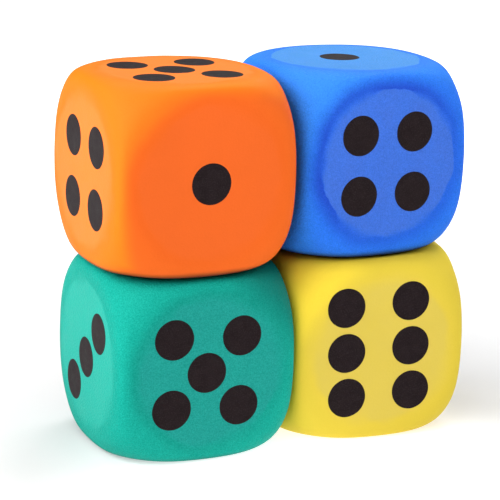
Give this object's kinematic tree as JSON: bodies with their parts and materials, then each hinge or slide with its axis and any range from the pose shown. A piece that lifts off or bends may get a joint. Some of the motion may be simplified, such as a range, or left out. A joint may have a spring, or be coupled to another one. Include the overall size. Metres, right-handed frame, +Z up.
{
  "type": "set of giant foam dice",
  "caption": "Stacked giant coated-foam dice with rounded edges, each a foam core in a coloured skin with printed round spots; they lift and slide apart.",
  "frame": {"origin": "on the ground under the middle of the stack's bounding box", "axes": "+X along the row, from the teal die towards the yellow one; -Y is the front of the stack; +Z up"},
  "size_m": [0.3373, 0.177, 0.321],
  "materials": {
    "orange_skin": "satin",
    "blue_skin": "satin",
    "teal_skin": "satin",
    "yellow_skin": "satin",
    "foam": "matte",
    "print": "satin"
  },
  "bodies": {
    "teal_die": {"teal_skin": "teal_skin", "teal_core": "foam", "teal_pip_front_1": "print", "teal_pip_front_2": "print", "teal_pip_front_3": "print", "teal_pip_front_4": "print", "teal_pip_front_5": "print", "teal_pip_left_1": "print", "teal_pip_left_2": "print", "teal_pip_left_3": "print", "teal_pip_back_1": "print", "teal_pip_back_2": "print"},
    "yellow_die": {"yellow_skin": "yellow_skin", "yellow_core": "foam", "yellow_pip_front_1": "print", "yellow_pip_front_2": "print", "yellow_pip_front_3": "print", "yellow_pip_front_4": "print", "yellow_pip_front_5": "print", "yellow_pip_front_6": "print", "yellow_pip_right_1": "print", "yellow_pip_right_2": "print", "yellow_pip_right_3": "print", "yellow_pip_back_1": "print"},
    "orange_die": {"orange_skin": "orange_skin", "orange_core": "foam", "orange_pip_top_1": "print", "orange_pip_top_2": "print", "orange_pip_top_3": "print", "orange_pip_top_4": "print", "orange_pip_top_5": "print", "orange_pip_front_1": "print", "orange_pip_left_1": "print", "orange_pip_left_2": "print", "orange_pip_left_3": "print", "orange_pip_left_4": "print", "orange_pip_back_1": "print", "orange_pip_back_2": "print", "orange_pip_back_3": "print", "orange_pip_back_4": "print", "orange_pip_back_5": "print", "orange_pip_back_6": "print"},
    "blue_die": {"blue_skin": "blue_skin", "blue_core": "foam", "blue_pip_top_1": "print", "blue_pip_front_1": "print", "blue_pip_front_2": "print", "blue_pip_front_3": "print", "blue_pip_front_4": "print", "blue_pip_right_1": "print", "blue_pip_right_2": "print", "blue_pip_back_1": "print", "blue_pip_back_2": "print", "blue_pip_back_3": "print"}
  },
  "joints": [
    {"name": "orange_lift", "type": "slide", "parent": "teal_die", "child": "orange_die", "axis": [0, 0, 1], "range_m": [0, 0.18]},
    {"name": "yellow_slide", "type": "slide", "parent": "teal_die", "child": "yellow_die", "axis": [1, 0, 0], "range_m": [0, 0.18]},
    {"name": "blue_lift", "type": "slide", "parent": "yellow_die", "child": "blue_die", "axis": [0, 0, 1], "range_m": [0, 0.18]}
  ]
}
